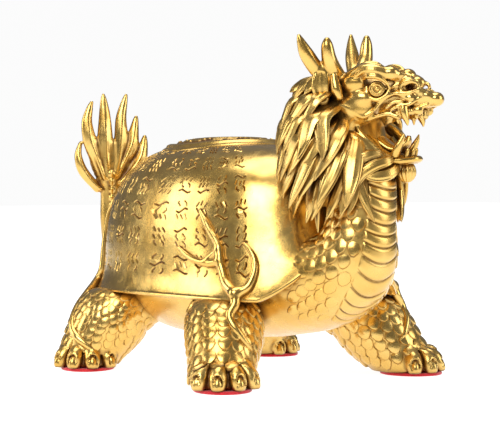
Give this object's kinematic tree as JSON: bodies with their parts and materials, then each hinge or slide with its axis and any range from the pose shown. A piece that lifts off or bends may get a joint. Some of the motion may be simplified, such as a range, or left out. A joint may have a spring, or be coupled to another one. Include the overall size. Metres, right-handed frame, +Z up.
{
  "type": "dragon turtle statue",
  "caption": "Cast brass statue of a turtle with a dragon's head: flame tail, maned neck, tall shell with incised strokes, vines up its sides, standing on red felt pads.",
  "frame": {"origin": "middle of the statue's footprint box, on the ground under its pads", "axes": "+X is the turtle's left, -Y is the way it faces, +Z is up"},
  "size_m": [0.1458, 0.2355, 0.16],
  "materials": {
    "brass": "cast, bright and satin, brown in the hollows",
    "red_felt": "matt felt"
  },
  "bodies": {
    "root": {"dragon_turtle": "brass", "front_left_pad": "red_felt", "front_right_pad": "red_felt", "hind_left_pad": "red_felt", "hind_right_pad": "red_felt"}
  },
  "joints": []
}
